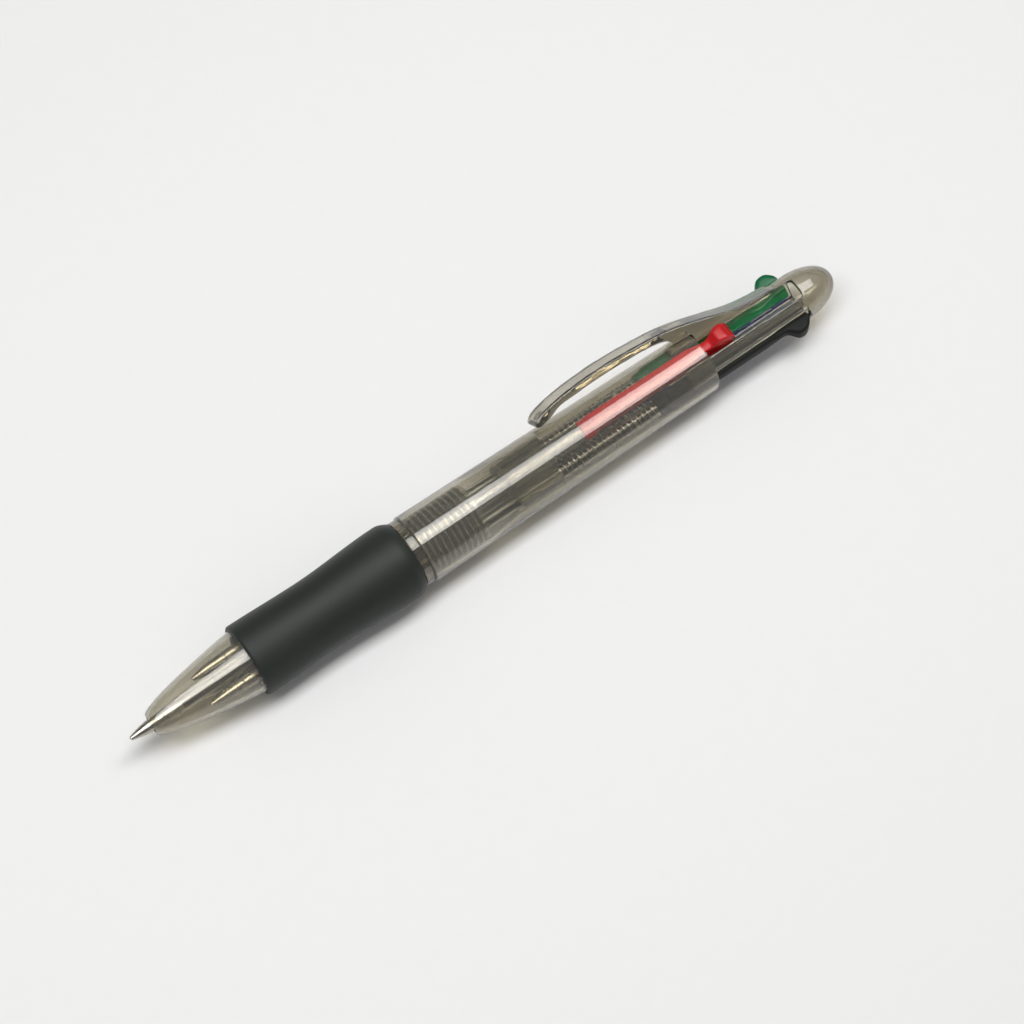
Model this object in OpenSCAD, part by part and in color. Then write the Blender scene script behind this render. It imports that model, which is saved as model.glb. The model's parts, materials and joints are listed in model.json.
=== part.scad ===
// Four-colour click pen, one colour out, lying level on its grip.
// The pen is drawn about its own axis, with x measured from the ball point towards the crown.
// One slider faces up (+Z), one each side (+Y and -Y) and one down. The clip is between +Z and +Y.

/* [Overall] */
// Length from the ball point to the crown, with one colour out
pen_len = 146.4; // [145.5:0.1:148]
// Travel of a slider between parked and writing
stroke = 14; // [12:0.5:14]
// Index of the colour that is out: 0 red, 1 black, 2 blue, 3 green
colour_out = 0; // [0:1:3]

/* [Nose and grip] */
// Where the nose opening starts
nose_x = 4.2; // [4:0.1:4.6]
// Radius of the nose opening
nose_hole_r = 1.42; // [1.4:0.01:1.45]
// Outer radius of the nose at its opening
nose_rim_r = 1.85; // [1.8:0.05:2]
// Outer radius of the nose where the grip starts
nose_back_r = 5.95; // [5.8:0.05:6.1]
// Where the grip starts
grip_x = 23.1; // [22.5:0.1:24]
// Where the grip ends
grip_end_x = 55.5; // [54:0.1:56]
// Grip radius at its front edge
grip_front_r = 6.7; // [6.6:0.05:6.9]
// Grip radius at its waist
grip_waist_r = 6.42; // [6.3:0.02:6.5]
// Grip radius at its widest
grip_max_r = 7.05; // [6.9:0.05:7.2]

/* [Barrel] */
// Outer radius of the barrel at its front end
barrel_front_r = 6.45; // [6.3:0.05:6.6]
// Outer radius of the barrel at its rear end
barrel_rear_r = 5.75; // [5.7:0.05:5.85]
// Where the barrel ends
barrel_end_x = 117.8; // [117.4:0.1:118]
// Radius of the barrel's bore
bore_r = 4.95; // [4.95:0.05:5]
// Radius of the collar ring between grip and barrel
collar_r = 6.22; // [6.1:0.02:6.3]
// Number of thread ribs on the screwed joint
thread_ribs = 10; // [6:1:10]

/* [Crown and clip] */
// Outer radius of the crown next to the barrel
crown_front_r = 4.75; // [4.7:0.05:4.8]
// Outer radius of the crown where its dome starts
crown_rear_r = 4.5; // [4.4:0.05:4.6]
// Width of the four slots
slot_w = 3.6; // [3.55:0.05:3.7]
// Width of the clip
clip_w = 4.2; // [3.8:0.1:4.2]
// Thickness of the clip's arm
clip_t = 1.6; // [1.4:0.1:1.7]

/* [Refills] */
// Distance of each refill from the pen's axis when it is parked
refill_r0 = 2.8; // [2.8:0.05:2.85]
// Outer radius of the ink tube
tube_r = 1.4; // [1.35:0.01:1.4]
// Inner radius of the ink tube
tube_bore_r = 1.0; // [0.98:0.01:1.0]
// Radius of the ball
ball_r = 0.35; // [0.35:0.05:0.4]
// Turns in each return spring
spring_turns = 20; // [12:1:22]

/* [Sliders] */
// Width of a slider
slider_w = 2.8; // [2.6:0.1:2.9]
// Length of a slider behind its spring seat
slider_len = 32; // [31.6:0.1:32.1]
// Width of a slider's knob
knob_w = 3.4; // [3.2:0.1:3.4]
// Length of the knob
knob_len = 6; // [5.5:0.1:6.2]
// Height of a knob's top above the pen's axis
knob_r = 6.5; // [6.3:0.1:7]

/* [Hidden] */
$fn = 96;

eps = 0.01;
far = 20;

// Colours, in the order red, black, blue, green, with each one's turn about the pen's axis
INK = [[0.78, 0.10, 0.12], [0.10, 0.10, 0.10], [0.12, 0.20, 0.60], [0.05, 0.45, 0.28]];
TURN = [0, 90, 180, -90];
CLIP_TURN = -45;
SMOKE = [0.36, 0.35, 0.31, 0.5];

// The pen lies with its axis one grip radius up, and its box is centred on the origin
clip_top_r = 10.1;
clip_reach_y = (clip_top_r + clip_w / 2) / sqrt(2);
place = [-pen_len / 2, (grip_max_r - clip_reach_y) / 2, grip_max_r];

// Screwed joint
wall = 0.8;
core_r = 5.7;
core_bore_r = 4.6;
collar_x = grip_end_x;
collar_len = 1.7;
barrel_x = collar_x + collar_len;
spigot_r = 5.25;
spigot_end_x = barrel_x + 12.2;
rib_pitch = 1.1;
rib_h = 0.28;
socket_r = spigot_r + rib_h + 0.08;
socket_end_x = spigot_end_x + 0.4;

// Refill, in its own frame with the ball point at 0
tip_cone_len = 3.7;
tip_r = 1.1;
tube_start = 9.4;
plug_len = 0.9;
seat_x = 92;
stem_len = 4;
pivot_x = seat_x - stem_len / 2;
refill_len = sqrt(pow(pivot_x, 2) + pow(refill_r0, 2));
refill_tilt = asin(refill_r0 / refill_len);
tube_end = refill_len + stem_len / 2 - 0.1;
ink_end = refill_len - stem_len / 2 - 1;

// Guide that holds the four tubes apart, and seats the springs
guide_x = 76.5;
guide_end_x = 85;
guide_r = bore_r - 0.03;
guide_hole_r = tube_r + 0.1;

// Spring
spring_wire_r = 0.125;
spring_r = tube_r + 0.22;
spring_gap = 0.08;

// Slider
bar_bottom_r = 1.05;
bar_top_r = crown_front_r;
boss_r = 1.8;
boss_len = 2.5;
stem_r = 0.9;
knob_front_w = 1.8;

// Crown
plug_x = barrel_end_x - 5;
dome_x = 138.5;
crown_wall = 1;
slot_end_x = seat_x + slider_len + stroke + 0.6;
fin_r = 3.3;
fin_t = 0.8;
core_x = plug_x + 0.5;
core_end_x = dome_x - 0.3;

// Puts a child drawn about the pen's axis in its place
module placed() {
    translate(place) children();
}

// A solid of revolution about the pen's axis, from points [radius, x]
module lathe(points) {
    rotate([0, 90, 0]) rotate_extrude() polygon(points);
}

// A round bar along the pen's axis
module bar(x, len, r) {
    translate([x, 0, 0]) rotate([0, 90, 0]) cylinder(h = len, r = r);
}

// A value that runs smoothly from a to b as u goes from 0 to 1
function ease(a, b, u) = a + (b - a) * (3 - 2 * u) * u * u;

// Points of a smooth curve that passes through every point of a list
function spline_point(p, i, u) =
    let (n = len(p) - 1, a = p[max(i - 1, 0)], b = p[i], c = p[i + 1], d = p[min(i + 2, n)])
    0.5 * (2 * b + (c - a) * u + (2 * a - 5 * b + 4 * c - d) * u * u
        + (3 * b - a - 3 * c + d) * u * u * u);
function spline(p, steps) = [
    for (i = [0:len(p) - 2]) for (k = [0:steps - 1]) spline_point(p, i, k / steps),
    p[len(p) - 1]
];

// Outside of the nose: blunt at the opening and flattening towards the grip
function nose_r(x) =
    nose_rim_r + (nose_back_r - nose_rim_r) * pow((x - nose_x) / (grip_x - nose_x), 0.57);

// Outside of the grip: a shallow waist and a swell at its rear
waist_x = 37.5;
swell_x = 52.8;
function grip_r(x) =
    x < waist_x ? ease(grip_front_r, grip_waist_r, (x - grip_x) / (waist_x - grip_x))
    : x < swell_x ? ease(grip_waist_r, grip_max_r, (x - waist_x) / (swell_x - waist_x))
    : grip_max_r;

module front_barrel() {
    nose_steps = 28;
    nose_at = [for (i = [0:nose_steps]) nose_x + (grip_x - nose_x) * pow(i / nose_steps, 1.6)];
    ribs = [
        for (i = [thread_ribs - 1:-1:0])
            let (x = barrel_x + 0.9 + i * rib_pitch)
            for (p = [[0, 0.7], [rib_h, 0.45], [rib_h, 0.25], [0, 0]]) [spigot_r + p[0], x + p[1]]
    ];
    placed() color(SMOKE) lathe(concat(
        [for (x = nose_at) [nose_r(x), x]],
        [[core_r, grip_x], [core_r, collar_x], [collar_r - 0.2, collar_x]],
        [[collar_r, collar_x + 0.2], [collar_r, barrel_x - 0.1], [spigot_r, barrel_x - 0.1]],
        [for (i = [len(ribs) - 1:-1:0]) ribs[i]],
        [[spigot_r, spigot_end_x], [core_bore_r, spigot_end_x], [core_bore_r, grip_x + 2.5]],
        [for (i = [nose_steps:-1:0])
            [max(nose_hole_r, nose_r(nose_at[i]) - wall), nose_at[i]]]
    ));
}

module grip_sleeve() {
    steps = 34;
    edge = 0.6;
    cone_len = 1.8;
    cone_drop = 0.7;
    run = grip_end_x - grip_x - edge - cone_len;
    xs = [for (i = [0:steps]) grip_x + edge + run * i / steps];
    front_edge = [for (a = [0:15:75]) [
        grip_r(grip_x + edge) - edge * (1 - sin(a)), grip_x + edge - edge * cos(a)
    ]];
    rear_edge = [for (u = [0.2:0.2:1]) [
        grip_max_r - cone_drop * pow(u, 1.4), grip_end_x - cone_len * (1 - u)
    ]];
    placed() color([0.17, 0.19, 0.17]) lathe(concat(
        [[core_r + 0.03, grip_x + 0.02]],
        front_edge,
        [for (x = xs) [grip_r(x), x]],
        rear_edge,
        [[core_r + 0.03, grip_end_x]]
    ));
}

module rear_barrel() {
    chamfer = 0.25;
    placed() color(SMOKE) lathe([
        [barrel_front_r - chamfer, barrel_x],
        [barrel_front_r, barrel_x + chamfer],
        [barrel_rear_r, barrel_end_x - chamfer],
        [barrel_rear_r - chamfer, barrel_end_x],
        [bore_r, barrel_end_x],
        [bore_r, guide_x],
        [socket_r, socket_end_x],
        [socket_r, barrel_x]
    ]);
}

module refill_guide() {
    slot_in = 0.55;
    placed() color(SMOKE) difference() {
        bar(guide_x, guide_end_x - guide_x, guide_r);
        for (turn = TURN) rotate([turn, 0, 0]) {
            translate([0, 0, refill_r0]) bar(guide_x - 1, far, guide_hole_r);
            translate([0, 0, refill_r0 - slot_in]) bar(guide_x - 1, far, guide_hole_r);
            translate([guide_x - 1, -guide_hole_r, refill_r0 - slot_in])
                cube([far, 2 * guide_hole_r, slot_in]);
        }
        // grooves that let air past the guide, between the tubes
        for (turn = TURN) rotate([turn + 45, 0, 0]) translate([0, 0, guide_r])
            bar(guide_x - 1, far, 0.9);
    }
}

module slider_core() {
    placed() color(SMOKE) union() {
        for (turn = [45, -45]) rotate([turn, 0, 0])
            translate([core_x, -fin_r, -fin_t / 2]) cube([core_end_x - core_x, 2 * fin_r, fin_t]);
        bar(core_x - 3, core_end_x - core_x + 3, 0.85);
    }
}

// Outline of the clip, in x and distance from the axis
function clip_outline() =
    let (
        top = spline([
            [85.3, 7.3], [86.1, 8.2], [87.5, 8.9], [91, 9.6], [96.2, 10.05], [102.2, clip_top_r],
            [109.6, 9.6], [114.8, 8.9], [120.2, 7.5], [126.5, 5.6], [131, 4.85],
            [135, crown_rear_r + 0.1]
        ], 4),
        under = spline([
            [114.2, 6.15], [113.7, 7.0], [112, 7.7], [108.6, 8.2], [102.2, clip_top_r - clip_t],
            [96.2, 10.05 - clip_t], [91, 8.2], [88.9, 7.4], [87.3, 7.0], [86.1, 6.85], [85.3, 7.3]
        ], 4)
    )
    concat(top, [[135, 4.1], [barrel_end_x + 0.1, 4.1], [barrel_end_x + 0.1, 6.0], [116, 6.1]], under);

module crown_clip() {
    dome_steps = 12;
    dome = [for (i = [0:dome_steps]) let (a = 90 * i / dome_steps)
        [crown_rear_r * pow(cos(a), 0.9), dome_x + (pen_len - dome_x) * sin(a)]];
    hollow_r = crown_rear_r - crown_wall;
    hollow_dome = [for (i = [0:dome_steps]) let (a = 90 * i / dome_steps)
        [hollow_r * pow(cos(a), 0.9), dome_x + (pen_len - 1.3 - dome_x) * sin(a)]];
    plug_r = bore_r - 0.02;
    placed() color(SMOKE) difference() {
        union() {
            lathe(concat(
                [[0, plug_x], [plug_r, plug_x], [plug_r, barrel_end_x + 0.05]],
                [[crown_front_r, barrel_end_x + 0.05]],
                dome
            ));
            rotate([CLIP_TURN, 0, 0]) translate([0, clip_w / 2, 0]) rotate([90, 0, 0])
                linear_extrude(clip_w) polygon(clip_outline());
            // the bump that grips the cloth
            rotate([CLIP_TURN, 0, 0]) translate([87.4, 0, 7.5]) sphere(r = 1.2);
        }
        // the hollow that the core is pushed into
        lathe(concat([[0, plug_x - 1], [crown_front_r - crown_wall, plug_x - 1]], hollow_dome));
        for (turn = TURN) rotate([turn, 0, 0])
            translate([plug_x - 1, -slot_w / 2, bar_bottom_r])
                cube([slot_end_x - plug_x + 1, slot_w, far / 2]);
    }
}

// Side view of a slider's knob: a hollowed ramp, a flat top and a steep back
function knob_outline() =
    let (
        start = slider_len - knob_len,
        top_start = slider_len - 3.1,
        top_end = slider_len - 1.7,
        ramp = [for (i = [0:8]) let (u = i / 8)
            [start + (top_start - start) * u, ease(bar_top_r - 0.15, knob_r, u * u)]]
    )
    concat(ramp, [
        [top_end, knob_r], [slider_len - 1.1, knob_r - 0.35], [slider_len - 0.1, 5.2],
        [slider_len, 4.7], [slider_len, bar_top_r - 0.6], [start, bar_top_r - 0.6]
    ]);

// Plan of the knob: narrow at its front, full width at its flat back
function knob_plan() =
    let (start = slider_len - knob_len, w = knob_w / 2, f = knob_front_w / 2, end = slider_len)
    [
        [start, f], [start + 1.4, f + 0.1], [end - 3.2, w * 0.82], [end - 2, w], [end + 1, w],
        [end + 1, -w], [end - 2, -w], [end - 3.2, -w * 0.82], [start + 1.4, -f - 0.1], [start, -f]
    ];

// Section of the bar, in width and distance from the axis
function bar_section() =
    let (w = slider_w / 2, tip = w - 1.1)
    [
        [-tip, bar_bottom_r], [tip, bar_bottom_r], [w, bar_bottom_r + w - tip], [w, far],
        [-w, far], [-w, bar_bottom_r + w - tip]
    ];

// Plan of the bar, with the neck in front of the knob
function bar_plan() =
    let (w = slider_w / 2, f = knob_front_w / 2, start = slider_len - knob_len)
    [
        [0, -w], [start - 2.5, -w], [start - 0.5, -f], [start + 1, -f], [start + 3, -w],
        [slider_len + 1, -w], [slider_len + 1, w], [start + 3, w], [start + 1, f],
        [start - 0.5, f], [start - 2.5, w], [0, w]
    ];

// A slider with its spring seat at x = 0, facing +Z
module slider_shape() {
    // spring seat and the stem that the tube is pushed on
    translate([0, 0, refill_r0]) bar(0, boss_len, boss_r);
    translate([0, 0, refill_r0]) bar(-stem_len, stem_len + eps, stem_r);
    // bar, wedge-shaped towards the pen's axis and rounded to run in the barrel's bore
    intersection() {
        translate([boss_len - 1, 0, 0]) rotate([90, 0, 90])
            linear_extrude(slider_len - boss_len + 1) polygon(bar_section());
        bar(0, slider_len, bar_top_r);
        linear_extrude(far) polygon(bar_plan());
    }
    // knob
    intersection() {
        translate([0, knob_w / 2, 0]) rotate([90, 0, 0]) linear_extrude(knob_w)
            polygon(knob_outline());
        linear_extrude(far) polygon(knob_plan());
    }
}

// How far colour c is pushed back from its writing place
function parked(c) = c == colour_out ? 0 : stroke;

module slider(c) {
    placed() color(INK[c]) rotate([TURN[c], 0, 0]) translate([seat_x + parked(c), 0, 0]) slider_shape();
}

// Puts a child drawn in the refill's own frame in its place
module refill_place(c) {
    tilt = c == colour_out ? -refill_tilt : 0;
    rotate([TURN[c], 0, 0]) translate([pivot_x + parked(c), 0, refill_r0])
        rotate([0, tilt, 0]) translate([-refill_len, 0, 0]) children();
}

module tube(c) {
    placed() color([0.85, 0.85, 0.82, 0.6]) refill_place(c) difference() {
        bar(tube_start, tube_end - tube_start, tube_r);
        bar(tube_start - 1, tube_end, tube_bore_r);
    }
}

module ink(c) {
    placed() color(INK[c]) refill_place(c)
        bar(tube_start + plug_len, ink_end - tube_start - plug_len, tube_bore_r - 0.02);
}

module tip(c) {
    lip_x = 0.2;
    placed() color([0.78, 0.74, 0.62]) refill_place(c) difference() {
        lathe([
            [0, lip_x], [ball_r + 0.03, lip_x], [ball_r + 0.12, lip_x + 0.35],
            [tip_r - 0.4, 1.5], [tip_r - 0.19, 2.5], [tip_r, tip_cone_len],
            [tip_r, tip_cone_len + 2.9], [tip_r + 0.12, tip_cone_len + 3.1],
            [tip_r + 0.12, tube_start], [tube_bore_r - 0.02, tube_start],
            [tube_bore_r - 0.02, tube_start + plug_len], [0, tube_start + plug_len]
        ]);
        translate([ball_r, 0, 0]) rotate([0, 90, 0]) sphere(r = ball_r + 0.01);
        bar(ball_r, far, 0.25);
    }
}

module ball(c) {
    placed() color("silver") refill_place(c)
        translate([ball_r, 0, 0]) rotate([0, 90, 0]) sphere(r = ball_r);
}

// A coil of wire, swept along its own turns with a four-sided section
module spring(c) {
    len_now = seat_x + parked(c) - guide_end_x - 2 * spring_gap - 2 * spring_wire_r;
    start = guide_end_x + spring_gap + spring_wire_r - (parked(c) + pivot_x - refill_len);
    steps = 10;
    sides = 4;
    rings = spring_turns * steps;
    points = [
        for (i = [0:rings]) for (k = [0:sides - 1])
            let (a = 360 * i / steps, b = 360 * k / sides, r = spring_r + spring_wire_r * cos(b))
            [start + len_now * i / rings + spring_wire_r * sin(b), r * cos(a), r * sin(a)]
    ];
    skin = [
        for (i = [0:rings - 1]) for (k = [0:sides - 1])
            let (m = (k + 1) % sides, p = i * sides, q = p + sides)
            for (face = [[p + k, p + m, q + m], [p + k, q + m, q + k]]) face
    ];
    ends = [[for (k = [sides - 1:-1:0]) k], [for (k = [0:sides - 1]) rings * sides + k]];
    placed() color([0.75, 0.76, 0.78]) refill_place(c) polyhedron(points, concat(skin, ends));
}

module red_slider() {
    slider(0);
}

module red_spring() {
    spring(0);
}

module red_tube() {
    tube(0);
}

module red_ink() {
    ink(0);
}

module red_tip() {
    tip(0);
}

module red_ball() {
    ball(0);
}

module black_slider() {
    slider(1);
}

module black_spring() {
    spring(1);
}

module black_tube() {
    tube(1);
}

module black_ink() {
    ink(1);
}

module black_tip() {
    tip(1);
}

module black_ball() {
    ball(1);
}

module blue_slider() {
    slider(2);
}

module blue_spring() {
    spring(2);
}

module blue_tube() {
    tube(2);
}

module blue_ink() {
    ink(2);
}

module blue_tip() {
    tip(2);
}

module blue_ball() {
    ball(2);
}

module green_slider() {
    slider(3);
}

module green_spring() {
    spring(3);
}

module green_tube() {
    tube(3);
}

module green_ink() {
    ink(3);
}

module green_tip() {
    tip(3);
}

module green_ball() {
    ball(3);
}

front_barrel();
grip_sleeve();
rear_barrel();
refill_guide();
slider_core();
crown_clip();
red_slider();
red_spring();
red_tube();
red_ink();
red_tip();
red_ball();
black_slider();
black_spring();
black_tube();
black_ink();
black_tip();
black_ball();
blue_slider();
blue_spring();
blue_tube();
blue_ink();
blue_tip();
blue_ball();
green_slider();
green_spring();
green_tube();
green_ink();
green_tip();
green_ball();
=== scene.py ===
"""The looks of the four-colour click pen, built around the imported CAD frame."""

import json
import math

import bmesh
import bpy
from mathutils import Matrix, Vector


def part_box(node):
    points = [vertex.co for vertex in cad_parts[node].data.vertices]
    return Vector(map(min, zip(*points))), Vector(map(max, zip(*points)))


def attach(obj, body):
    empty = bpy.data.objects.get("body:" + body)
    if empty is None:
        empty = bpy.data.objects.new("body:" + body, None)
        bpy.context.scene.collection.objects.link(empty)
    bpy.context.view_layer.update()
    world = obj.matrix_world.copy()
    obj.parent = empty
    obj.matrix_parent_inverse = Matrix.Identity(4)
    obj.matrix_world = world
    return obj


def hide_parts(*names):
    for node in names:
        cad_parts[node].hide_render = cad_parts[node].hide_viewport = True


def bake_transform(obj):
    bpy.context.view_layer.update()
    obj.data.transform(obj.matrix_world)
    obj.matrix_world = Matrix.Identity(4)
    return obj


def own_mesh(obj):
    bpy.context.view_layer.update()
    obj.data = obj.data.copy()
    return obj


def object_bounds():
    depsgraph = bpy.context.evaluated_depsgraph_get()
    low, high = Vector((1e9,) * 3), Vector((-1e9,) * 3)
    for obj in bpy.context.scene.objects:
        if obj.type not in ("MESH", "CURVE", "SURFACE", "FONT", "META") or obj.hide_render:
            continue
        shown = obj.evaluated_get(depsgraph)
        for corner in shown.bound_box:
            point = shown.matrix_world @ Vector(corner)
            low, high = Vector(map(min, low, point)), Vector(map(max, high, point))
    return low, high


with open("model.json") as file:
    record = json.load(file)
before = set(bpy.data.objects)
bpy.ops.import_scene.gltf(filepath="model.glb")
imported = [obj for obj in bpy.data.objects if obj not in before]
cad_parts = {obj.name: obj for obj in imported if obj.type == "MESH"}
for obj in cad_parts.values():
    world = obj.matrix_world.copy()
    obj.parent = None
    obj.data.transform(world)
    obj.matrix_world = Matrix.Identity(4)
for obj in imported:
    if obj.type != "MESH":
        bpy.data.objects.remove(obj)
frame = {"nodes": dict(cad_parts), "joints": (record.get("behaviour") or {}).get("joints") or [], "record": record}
cad_low, cad_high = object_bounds()

MM = 0.001
COLOURS = ("red", "black", "blue", "green")

# ---------------------------------------------------------------- the pen's own axis, from the frame
barrel_low, barrel_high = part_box("rear_barrel")
AXIS_Y = (barrel_low.y + barrel_high.y) / 2
AXIS_Z = (barrel_low.z + barrel_high.z) / 2
POINT_X = cad_low.x


def at(x_mm, y_mm=0.0, z_mm=0.0):
    """A place in the row frame, from millimetres behind the ball point and off the pen's axis."""
    return Vector((POINT_X + x_mm * MM, AXIS_Y + y_mm * MM, AXIS_Z + z_mm * MM))


# ---------------------------------------------------------------- camera
VIEW_AZIMUTH = -36.1
VIEW_ELEVATION = 66.0
VIEW_DISTANCE = 0.55
VIEW_LENS = 114.07
VIEW_RIGHT = 3.72 * MM
VIEW_UP = -2.0 * MM
PEN_MIDDLE = 73.0  # millimetres behind the ball point
SENSOR_WIDTH = 36.0


def view_axes():
    a, e = math.radians(VIEW_AZIMUTH), math.radians(VIEW_ELEVATION)
    back = Vector((math.sin(a) * math.cos(e), -math.cos(a) * math.cos(e), math.sin(e)))
    right = Vector((math.cos(a), math.sin(a), 0))
    return back, right, back.cross(right)


def make_camera():
    back, right, up = view_axes()
    data = bpy.data.cameras.new("camera")
    data.sensor_width = SENSOR_WIDTH
    data.lens = VIEW_LENS
    data.clip_start = 0.02
    data.clip_end = 20.0
    camera = bpy.data.objects.new("camera", data)
    bpy.context.scene.collection.objects.link(camera)
    camera.location = at(PEN_MIDDLE) + back * VIEW_DISTANCE + right * VIEW_RIGHT + up * VIEW_UP
    camera.rotation_mode = "QUATERNION"
    camera.rotation_quaternion = back.to_track_quat("Z", "Y")
    bpy.context.scene.camera = camera


make_camera()


# ---------------------------------------------------------------- materials
NOISE_LOW = 0.3
NOISE_HIGH = 0.7


def new_material(name):
    mat = bpy.data.materials.new(name)
    mat.use_nodes = True
    tree = mat.node_tree
    return mat, tree, tree.nodes["Principled BSDF"], tree.nodes["Material Output"]


def put(node, **values):
    """Sets a node's sockets by name, with _ for a space."""
    for key, value in values.items():
        node.inputs[key.replace("_", " ")].default_value = value


def grain(tree, scale, detail=3.0, stretch=(1, 1, 1)):
    """A noise in the object's own coordinates, as a value socket."""
    place = tree.nodes.new("ShaderNodeTexCoord")
    mapping = tree.nodes.new("ShaderNodeMapping")
    mapping.inputs["Scale"].default_value = stretch
    noise = tree.nodes.new("ShaderNodeTexNoise")
    put(noise, Scale=scale, Detail=detail)
    tree.links.new(place.outputs["Object"], mapping.inputs["Vector"])
    tree.links.new(mapping.outputs["Vector"], noise.inputs["Vector"])
    return noise.outputs["Fac"]


def between(tree, value, low, high):
    """A noise's value as a number from low to high, reached at the ends of the noise's usual range."""
    node = tree.nodes.new("ShaderNodeMapRange")
    put(node, From_Min=NOISE_LOW, From_Max=NOISE_HIGH, To_Min=low, To_Max=high)
    tree.links.new(value, node.inputs["Value"])
    return node.outputs["Result"]


def colours(tree, value, dark, light):
    """The value, from 0 to 1, as a colour from dark to light."""
    node = tree.nodes.new("ShaderNodeMix")
    node.data_type = "RGBA"
    node.inputs["A"].default_value = (*dark, 1)
    node.inputs["B"].default_value = (*light, 1)
    tree.links.new(value, node.inputs["Factor"])
    return node.outputs["Result"]


def bump(tree, shader, value, height, strength=0.3):
    node = tree.nodes.new("ShaderNodeBump")
    put(node, Strength=strength, Distance=height)
    tree.links.new(value, node.inputs["Height"])
    tree.links.new(node.outputs["Normal"], shader.inputs["Normal"])


def lets_lamps_through(tree, shader, out, colour):
    """Shadow rays pass straight through the surface, so that the inside and the floor are lit."""
    through = tree.nodes.new("ShaderNodeBsdfTransparent")
    through.inputs["Color"].default_value = (*colour, 1)
    path = tree.nodes.new("ShaderNodeLightPath")
    mix = tree.nodes.new("ShaderNodeMixShader")
    tree.links.new(path.outputs["Is Shadow Ray"], mix.inputs["Fac"])
    tree.links.new(shader.outputs["BSDF"], mix.inputs[1])
    tree.links.new(through.outputs["BSDF"], mix.inputs[2])
    tree.links.new(mix.outputs["Shader"], out.inputs["Surface"])


def smoke_plastic(name, density, tint, shadow, roughness=(0.015, 0.05), gloss=0.4, specular=0.6, milk=0.0):
    """Clear smoke-grey plastic: glass with an absorbing body, faint flow haze and fine scuffs."""
    mat, tree, shader, out = new_material(name)
    put(shader, IOR=1.55, Transmission_Weight=1.0 - milk, Base_Color=(*SMOKE_BASE, 1))
    put(shader, Specular_IOR_Level=specular, Coat_Weight=gloss, Coat_IOR=1.5, Coat_Roughness=0.03)
    haze = grain(tree, 260.0, 4.0, (0.3, 1, 1))
    tree.links.new(between(tree, haze, *roughness), shader.inputs["Roughness"])
    bump(tree, shader, grain(tree, 140.0, 2.0, (0.4, 1, 1)), 0.004 * MM, 0.05)
    lets_lamps_through(tree, shader, out, shadow)
    body = tree.nodes.new("ShaderNodeVolumeAbsorption")
    put(body, Color=(*tint, 1), Density=density)
    tree.links.new(body.outputs["Volume"], out.inputs["Volume"])
    return mat


def maths(tree, operation, one, two):
    """The result of a Math node on a socket and a number, or on two sockets."""
    node = tree.nodes.new("ShaderNodeMath")
    node.operation = operation
    tree.links.new(one, node.inputs[0])
    if isinstance(two, float):
        node.inputs[1].default_value = two
    else:
        tree.links.new(two, node.inputs[1])
    return node.outputs[0]


def paint_rib_shade(mat, clear, dark):
    """Paints shade into the base colour on the thread's ribs, for the light their flanks glance away, so that they
    read as fine rings.
    """
    tree = mat.node_tree
    place = tree.nodes.new("ShaderNodeTexCoord")
    split = tree.nodes.new("ShaderNodeSeparateXYZ")
    tree.links.new(place.outputs["Object"], split.inputs["Vector"])
    along = maths(tree, "SUBTRACT", split.outputs["X"], POINT_X + THREAD_START)
    rib = maths(tree, "LESS_THAN", maths(tree, "MODULO", along, THREAD_PITCH), THREAD_RIB)
    inside = maths(tree, "LESS_THAN", along, THREAD_LENGTH)
    after = maths(tree, "GREATER_THAN", along, 0.0)
    zone = maths(tree, "MULTIPLY", inside, after)
    # painted shade: the ribs inside the thread's zone take the dark colour
    tint = colours(tree, maths(tree, "MULTIPLY", rib, zone), clear, dark)
    tree.links.new(tint, tree.nodes["Principled BSDF"].inputs["Base Color"])


def moulded(name, dark, light, roughness=(0.16, 0.3), specular=0.5):
    """Glossy opaque moulded plastic with faint flow marks."""
    mat, tree, shader, _out = new_material(name)
    put(shader, IOR=1.5, Specular_IOR_Level=specular)
    flow = grain(tree, 220.0, 4.0, (0.4, 1, 1))
    tree.links.new(colours(tree, flow, dark, light), shader.inputs["Base Color"])
    tree.links.new(between(tree, flow, *roughness), shader.inputs["Roughness"])
    bump(tree, shader, grain(tree, 900.0, 2.0), 0.02 * MM, 0.2)
    return mat


def rubber(name):
    """Satin moulded rubber: a fine tooth, soft cloudy patches and a little dust sheen."""
    mat, tree, shader, _out = new_material(name)
    put(shader, IOR=1.47, Specular_IOR_Level=0.25, Sheen_Weight=0.04, Sheen_Roughness=0.5)
    clouds = grain(tree, 70.0, 5.0, (0.5, 1, 1))
    tooth = grain(tree, 5200.0, 2.0)
    tint = colours(tree, clouds, (0.013, 0.017, 0.014), (0.021, 0.026, 0.022))
    tree.links.new(tint, shader.inputs["Base Color"])
    tree.links.new(between(tree, clouds, 0.44, 0.58), shader.inputs["Roughness"])
    bump(tree, shader, tooth, 0.03 * MM, 0.35)
    return mat


def metal(name, dark, light, roughness, ring_scale=0.0):
    """Turned or drawn metal. ring_scale adds the fine rings that turning leaves along x."""
    mat, tree, shader, _out = new_material(name)
    put(shader, Metallic=1.0)
    stain = grain(tree, 420.0, 4.0)
    tree.links.new(colours(tree, stain, dark, light), shader.inputs["Base Color"])
    tree.links.new(between(tree, stain, *roughness), shader.inputs["Roughness"])
    if ring_scale:
        rings = grain(tree, ring_scale, 2.0, (1, 0.02, 0.02))
        bump(tree, shader, rings, 0.01 * MM, 0.25)
    return mat


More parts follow.
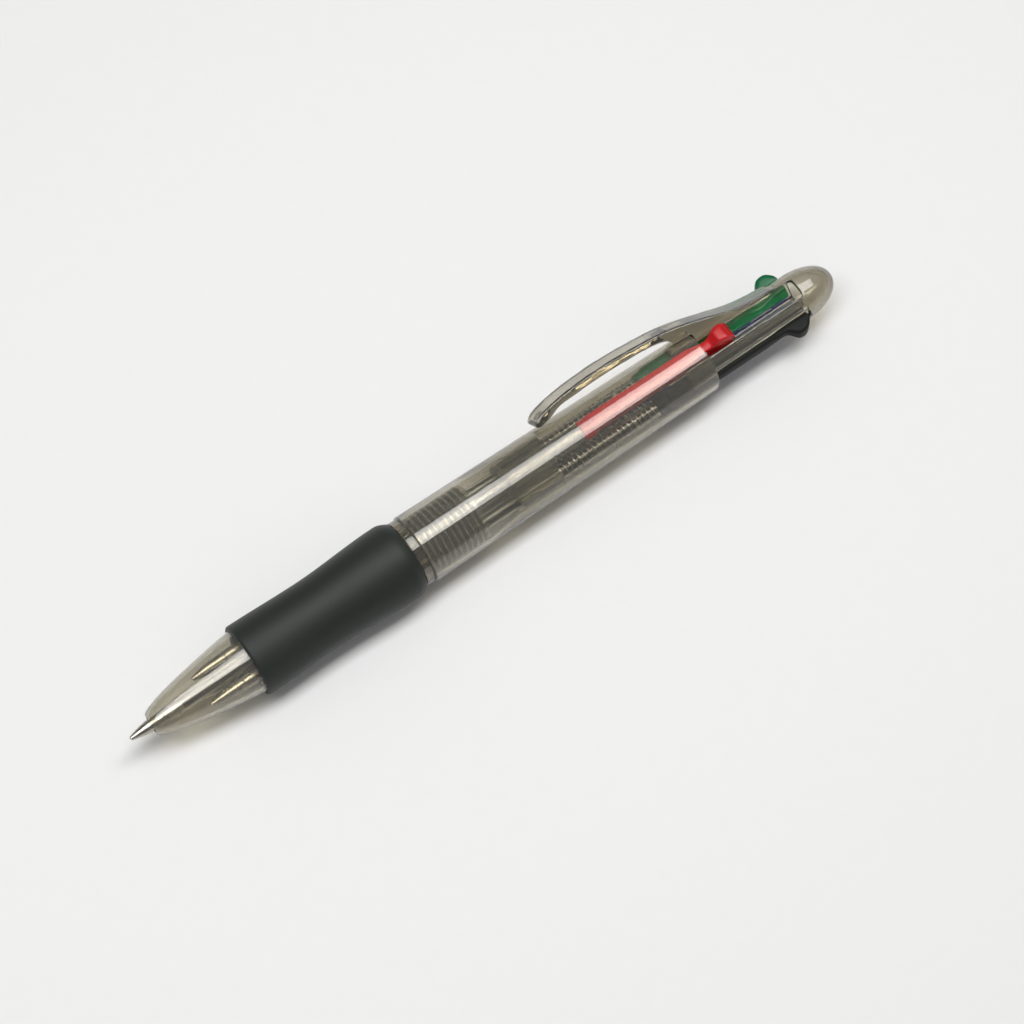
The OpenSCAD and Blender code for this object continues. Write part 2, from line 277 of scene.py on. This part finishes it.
SMOKE_DENSITY = 720.0
SMOKE_TINT = (0.43, 0.38, 0.25)
SMOKE_SHADOW = (0.80, 0.79, 0.74)
SMOKE_MILK = 0.035
SMOKE_BASE = (0.96, 0.95, 0.90)
# The colour of the painted shade on the thread's ribs, and the rings along x where it is painted:
PAINTED_RIB_SHADE = (0.15, 0.145, 0.13)
THREAD_START = 58.1 * MM
THREAD_PITCH = 1.1 * MM
THREAD_RIB = 0.45 * MM
THREAD_LENGTH = 10.6 * MM

MATERIALS = {
    "smoke_plastic": smoke_plastic("smoke_plastic", SMOKE_DENSITY, SMOKE_TINT, SMOKE_SHADOW, milk=SMOKE_MILK),
    "grip_rubber": rubber("grip_rubber"),
    "red_plastic": moulded("red_plastic", (0.42, 0.005, 0.008), (0.52, 0.009, 0.012), (0.22, 0.34), 0.3),
    "black_plastic": moulded("black_plastic", (0.008, 0.009, 0.008), (0.018, 0.020, 0.018), (0.4, 0.5), 0.08),
    "blue_plastic": moulded("blue_plastic", (0.006, 0.020, 0.20), (0.010, 0.032, 0.28), (0.22, 0.34), 0.3),
    "green_plastic": moulded("green_plastic", (0.001, 0.09, 0.03), (0.002, 0.12, 0.042), (0.22, 0.34), 0.3),
    "spring_steel": metal("spring_steel", (0.50, 0.50, 0.49), (0.66, 0.66, 0.64), (0.18, 0.32)),
    "tube_plastic": smoke_plastic(
        "tube_plastic", 40.0, (0.8, 0.8, 0.75), (0.93, 0.93, 0.92), (0.10, 0.2), gloss=0.0, specular=0.15
    ),
    "red_ink": moulded("red_ink", (0.010, 0.006, 0.008), (0.018, 0.008, 0.010), (0.4, 0.5), 0.15),
    "black_ink": moulded("black_ink", (0.004, 0.004, 0.005), (0.01, 0.01, 0.012), (0.4, 0.5), 0.15),
    "blue_ink": moulded("blue_ink", (0.004, 0.005, 0.014), (0.006, 0.008, 0.024), (0.4, 0.5), 0.15),
    "green_ink": moulded("green_ink", (0.004, 0.008, 0.006), (0.006, 0.014, 0.010), (0.4, 0.5), 0.15),
    "tip_metal": metal("tip_metal", (0.36, 0.34, 0.29), (0.50, 0.48, 0.42), (0.22, 0.34), 2600.0),
    "ball_metal": metal("ball_metal", (0.55, 0.55, 0.56), (0.7, 0.7, 0.71), (0.06, 0.12)),
}

INNER_SMOKE = smoke_plastic(
    "smoke_plastic_inside", 110.0, (0.42, 0.39, 0.30), (0.9, 0.9, 0.88), gloss=0.0, specular=0.3
)

# The front barrel's smoke plastic, with painted shade on the thread's ribs.
SMOKE_WITH_PAINTED_RIB_SHADE = smoke_plastic(
    "smoke_plastic_painted_rib_shade", SMOKE_DENSITY, SMOKE_TINT, SMOKE_SHADOW, milk=SMOKE_MILK
)
paint_rib_shade(SMOKE_WITH_PAINTED_RIB_SHADE, SMOKE_BASE, PAINTED_RIB_SHADE)

# ---------------------------------------------------------------- finish on the CAD nodes
SLOT_OF = {row["node"]: row["material_slot"] for row in frame["record"]["subparts"]}


def finish_cad(node, obj):
    obj.data.materials.clear()
    inner = node in ("refill_guide", "slider_core")
    obj.data.materials.append(INNER_SMOKE if inner else MATERIALS[SLOT_OF[node]])


for node_name, node_object in frame["nodes"].items():
    finish_cad(node_name, node_object)


# ---------------------------------------------------------------- pieces with moulded, rounded edges
SLIDER_VOXEL = 0.13 * MM
SLIDER_ROUNDS = 20
STEM_LENGTH = 4.2 * MM
KNOB_FOOT_R = 4.5 * MM
KNOB_BLEND = 0.7 * MM
KNOB_ROUNDS = 90
CROWN_VOXEL = 0.17 * MM
CROWN_ROUNDS = 20
CLIP_FOOT_R = 6.9 * MM
CLIP_BLEND = 0.5 * MM
CLIP_ROUNDS = 50


def finish_piece(piece, nodes, slot):
    piece.data.materials.clear()
    piece.data.materials.append(MATERIALS[slot])
    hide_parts(*nodes)


def apply_modifiers(piece):
    bpy.context.view_layer.update()
    graph = bpy.context.evaluated_depsgraph_get()
    mesh = bpy.data.meshes.new_from_object(piece.evaluated_get(graph))
    piece.modifiers.clear()
    piece.vertex_groups.clear()
    piece.data = mesh
    mesh.polygons.foreach_set("use_smooth", [True] * len(mesh.polygons))


def off_axis(point):
    return math.hypot(point.y - AXIS_Y, point.z - AXIS_Z)


def evened(node, voxel):
    """A copy of a CAD node's mesh in even faces, which can be worn round."""
    source = frame["nodes"][node]
    piece = bpy.data.objects.new(node + "_moulded", source.data.copy())
    bpy.context.scene.collection.objects.link(piece)
    piece.matrix_world = source.matrix_world.copy()
    remesh = piece.modifiers.new("even", "REMESH")
    remesh.mode = "VOXEL"
    remesh.voxel_size = voxel
    apply_modifiers(piece)
    return piece


def worn(piece, rounds, share):
    """Wears the edges round, as a moulded part's are, by a share from 0 to 1 for each point."""
    group = piece.vertex_groups.new(name="worn")
    for vertex in piece.data.vertices:
        group.add([vertex.index], min(1.0, max(0.0, share(vertex.co))), "REPLACE")
    smooth = piece.modifiers.new("round", "SMOOTH")
    smooth.factor = 0.5
    smooth.iterations = rounds
    smooth.vertex_group = group.name
    apply_modifiers(piece)


def make_moulded():
    for colour in COLOURS:
        node = colour + "_slider"
        piece = evened(node, SLIDER_VOXEL)
        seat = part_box(node)[0].x + STEM_LENGTH
        worn(piece, SLIDER_ROUNDS, lambda point: point.x > seat)
        worn(piece, KNOB_ROUNDS, lambda point: (off_axis(point) - KNOB_FOOT_R) / KNOB_BLEND)
        finish_piece(piece, [node], SLOT_OF[node])
        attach(piece, node)
    piece = evened("crown_clip", CROWN_VOXEL)
    worn(piece, CROWN_ROUNDS, lambda point: 1.0)
    worn(piece, CLIP_ROUNDS, lambda point: (off_axis(point) - CLIP_FOOT_R) / CLIP_BLEND)
    finish_piece(piece, ["crown_clip"], "smoke_plastic")
    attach(piece, "barrel")


# ---------------------------------------------------------------- turned shells, with rounded corners
RING_STEPS = 192
RING_TOLERANCE = 0.02 * MM
CORNER_TURN = math.radians(25)
CORNER_SHARE = 0.4  # of the edge beside a corner, at the most
CORNER_R = {"front_barrel": 0.04 * MM, "rear_barrel": 0.12 * MM, "grip_sleeve": 0.2 * MM}


def ring_outline(node):
    """The outline of a turned CAD node, as (x, radius) pairs in order, read from the rings of its mesh."""
    mesh = frame["nodes"][node].data
    rings = []
    ring_of = []
    found = {}
    for vertex in mesh.vertices:
        x, r = vertex.co.x, off_axis(vertex.co)
        key = (round(x / RING_TOLERANCE * 4), round(r / RING_TOLERANCE * 4))
        if key not in found:
            near = [i for i, (a, b) in enumerate(rings) if abs(a - x) + abs(b - r) < RING_TOLERANCE]
            if not near:
                rings.append((x, r))
                near = [len(rings) - 1]
            found[key] = near[0]
        ring_of.append(found[key])
    links = {i: set() for i in range(len(rings))}
    for edge in mesh.edges:
        a, b = (ring_of[v] for v in edge.vertices)
        if a != b:
            links[a].add(b)
            links[b].add(a)
    order = [0, min(links[0])]
    while True:
        onward = [i for i in links[order[-1]] if i != order[-2]]
        if len(onward) != 1:
            raise RuntimeError(f"{node} isn't a plain turned shape at ring {rings[order[-1]]}")
        if onward[0] == order[0]:
            break
        order.append(onward[0])
    return [rings[i] for i in order]


def rounded_corners(outline, radius, steps=4):
    """The outline with every sharp corner cut to a small curve."""
    points = []
    count = len(outline)
    for i in range(count):
        before, here, after = (Vector(outline[(i + k) % count]) for k in (-1, 0, 1))
        back, on = before - here, after - here
        if back.angle(on) > math.pi - CORNER_TURN:
            points.append(here)
            continue
        start = here + back.normalized() * min(radius, CORNER_SHARE * back.length)
        end = here + on.normalized() * min(radius, CORNER_SHARE * on.length)
        for k in range(steps + 1):
            u = k / steps
            points.append(start.lerp(here, u).lerp(here.lerp(end, u), u))
    return points


def turned(node, radius):
    """A turned shell on the pen's axis, from the CAD node's own outline."""
    outline = rounded_corners(ring_outline(node), radius)
    bm = bmesh.new()
    rows = []
    for i in range(RING_STEPS):
        angle = 2 * math.pi * i / RING_STEPS
        y, z = math.cos(angle), math.sin(angle)
        rows.append([bm.verts.new((x, AXIS_Y + r * y, AXIS_Z + r * z)) for x, r in outline])
    count = len(outline)
    for i in range(RING_STEPS):
        one, two = rows[i], rows[(i + 1) % RING_STEPS]
        for k in range(count):
            m = (k + 1) % count
            bm.faces.new((one[k], one[m], two[m], two[k]))
    bmesh.ops.recalc_face_normals(bm, faces=bm.faces)
    mesh = bpy.data.meshes.new(node + "_turned")
    bm.to_mesh(mesh)
    bm.free()
    mesh.polygons.foreach_set("use_smooth", [True] * len(mesh.polygons))
    mesh.set_sharp_from_angle(angle=CORNER_TURN)
    piece = bpy.data.objects.new(node + "_turned", mesh)
    bpy.context.scene.collection.objects.link(piece)
    finish_piece(piece, [node], SLOT_OF[node])
    # the front barrel takes the smoke plastic with painted shade on its thread's ribs
    if node == "front_barrel":
        piece.data.materials[0] = SMOKE_WITH_PAINTED_RIB_SHADE
    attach(piece, "barrel")


# ---------------------------------------------------------------- return springs
SPRING_TURNS = 20
SPRING_WIRE = 0.25 * MM
SPRING_STEPS = 24
SPRING_SIDES = 10
SPRING_LEAN = 0.35  # of the tube's own tilt at rest, so that the coil clears it both out and parked
SPRING_LEVEL = 0.005  # a tube that tilts less than this is parked
SPRING_DROP = 0.07 * MM  # the same for a parked tube, towards the axis at the guide's end


def coil_mesh(name, start, end, radius):
    """A round wire wound evenly from start to end, with a flat cap on each end."""
    axis = (end - start).normalized()
    side = axis.orthogonal().normalized()
    other = axis.cross(side)
    rings = SPRING_TURNS * SPRING_STEPS
    bm = bmesh.new()
    rows = []
    for i in range(rings + 1):
        u = i / rings
        angle = 2 * math.pi * SPRING_TURNS * u
        out = side * math.cos(angle) + other * math.sin(angle)
        centre = start.lerp(end, u) + out * radius
        row = []
        for k in range(SPRING_SIDES):
            b = 2 * math.pi * k / SPRING_SIDES
            row.append(bm.verts.new(centre + (out * math.cos(b) + axis * math.sin(b)) * SPRING_WIRE / 2))
        rows.append(row)
    for one, two in zip(rows, rows[1:]):
        for k in range(SPRING_SIDES):
            m = (k + 1) % SPRING_SIDES
            bm.faces.new((one[k], one[m], two[m], two[k]))
    bm.faces.new(rows[0][::-1])
    bm.faces.new(rows[-1])
    bmesh.ops.recalc_face_normals(bm, faces=bm.faces)
    mesh = bpy.data.meshes.new(name)
    bm.to_mesh(mesh)
    bm.free()
    mesh.polygons.foreach_set("use_smooth", [True] * len(mesh.polygons))
    return mesh


def make_spring(colour):
    """A spring on its tube, between the guide and the slider, which closes up as the slider is pushed."""
    node = colour + "_spring"
    low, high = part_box(node)
    tube_low, tube_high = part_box(colour + "_tube")
    middle = (low + high) / 2
    run = high.x - low.x - SPRING_WIRE
    out = Vector((0, middle.y - AXIS_Y, middle.z - AXIS_Z)).normalized()
    tube_size = tube_high - tube_low
    tilt = (max(tube_size.y, tube_size.z) - min(tube_size.y, tube_size.z)) / tube_size.x
    reach = Vector((run / 2, 0, 0)) + out * tilt * SPRING_LEAN * run / 2
    start, end = middle - reach, middle + reach
    if tilt < SPRING_LEVEL:
        start -= out * SPRING_DROP
    radius = (min(high.y - low.y, high.z - low.z) - SPRING_WIRE) / 2
    piece = bpy.data.objects.new(node + "_coil", coil_mesh(node + "_coil", start, end, radius))
    bpy.context.scene.collection.objects.link(piece)
    finish_piece(piece, [node], "spring_steel")
    joint = next(j for j in frame["joints"] if j["name"] == colour + "_slide")
    if joint["range_m"][0] < 0:
        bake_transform(piece)
    else:
        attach(piece, "barrel")
        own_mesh(piece)


make_moulded()
for shell, corner_radius in CORNER_R.items():
    turned(shell, corner_radius)
for spring_colour in COLOURS:
    make_spring(spring_colour)


# ---------------------------------------------------------------- floor and light
ROOM_FILL = 0.34
ROOM_SEEN = 0.2
SOFTBOX_POWER = 3.55
GLEAM_POWER = 7.2
GLEAM_NEARER = 0.02
SOFTBOX_PLACE = Vector((0, 0.02, 0.60))
SOFTBOX_SIZE = (0.8, 0.2)
GLEAM_SIZE = (1.2, 0.42)
FLOOR_SIZE = 6.0
FLOOR_GAP = 0.02 * MM


def make_floor():
    bpy.ops.mesh.primitive_plane_add(size=FLOOR_SIZE, location=(0, 0, cad_low.z - FLOOR_GAP))
    floor = bpy.context.object
    floor.name = "floor"
    mat, tree, shader, _out = new_material("floor_paper")
    fibre = grain(tree, 300.0, 4.0)
    paper = colours(tree, fibre, (0.80, 0.80, 0.795), (0.815, 0.815, 0.81))
    tree.links.new(paper, shader.inputs["Base Color"])
    put(shader, Roughness=0.9, Specular_IOR_Level=0.0)
    floor.data.materials.append(mat)


def area_light(name, place, aim, size, power, diffuse=True, glossy=True):
    data = bpy.data.lights.new(name, "AREA")
    data.shape = "RECTANGLE"
    data.size, data.size_y = size
    data.energy = power
    light = bpy.data.objects.new(name, data)
    bpy.context.scene.collection.objects.link(light)
    light.location = place
    light.rotation_mode = "QUATERNION"
    light.rotation_quaternion = (Vector(place) - Vector(aim)).to_track_quat("Z", "Y")
    light.visible_diffuse = diffuse
    light.visible_glossy = glossy


def make_light():
    world = bpy.data.worlds.new("world")
    bpy.context.scene.world = world
    world.use_nodes = True
    tree = world.node_tree
    room = tree.nodes["Background"]
    path = tree.nodes.new("ShaderNodeLightPath")
    strength = tree.nodes.new("ShaderNodeMapRange")
    put(strength, From_Min=0.0, From_Max=1.0, To_Min=ROOM_SEEN, To_Max=ROOM_FILL)
    tree.links.new(path.outputs["Is Diffuse Ray"], strength.inputs["Value"])
    tree.links.new(strength.outputs["Result"], room.inputs["Strength"])
    put(room, Color=(1, 1, 1, 1))
    middle = at(PEN_MIDDLE)
    place = middle + SOFTBOX_PLACE
    area_light("softbox", place, middle, SOFTBOX_SIZE, SOFTBOX_POWER, glossy=False)
    near = place.lerp(middle, GLEAM_NEARER / (place - middle).length)
    area_light("softbox_gleam", near, middle, GLEAM_SIZE, GLEAM_POWER, diffuse=False)


make_floor()
make_light()
scene = bpy.context.scene
scene.view_settings.view_transform = "Standard"
scene.cycles.max_bounces = 24
scene.cycles.transmission_bounces = 20
scene.cycles.transparent_max_bounces = 24
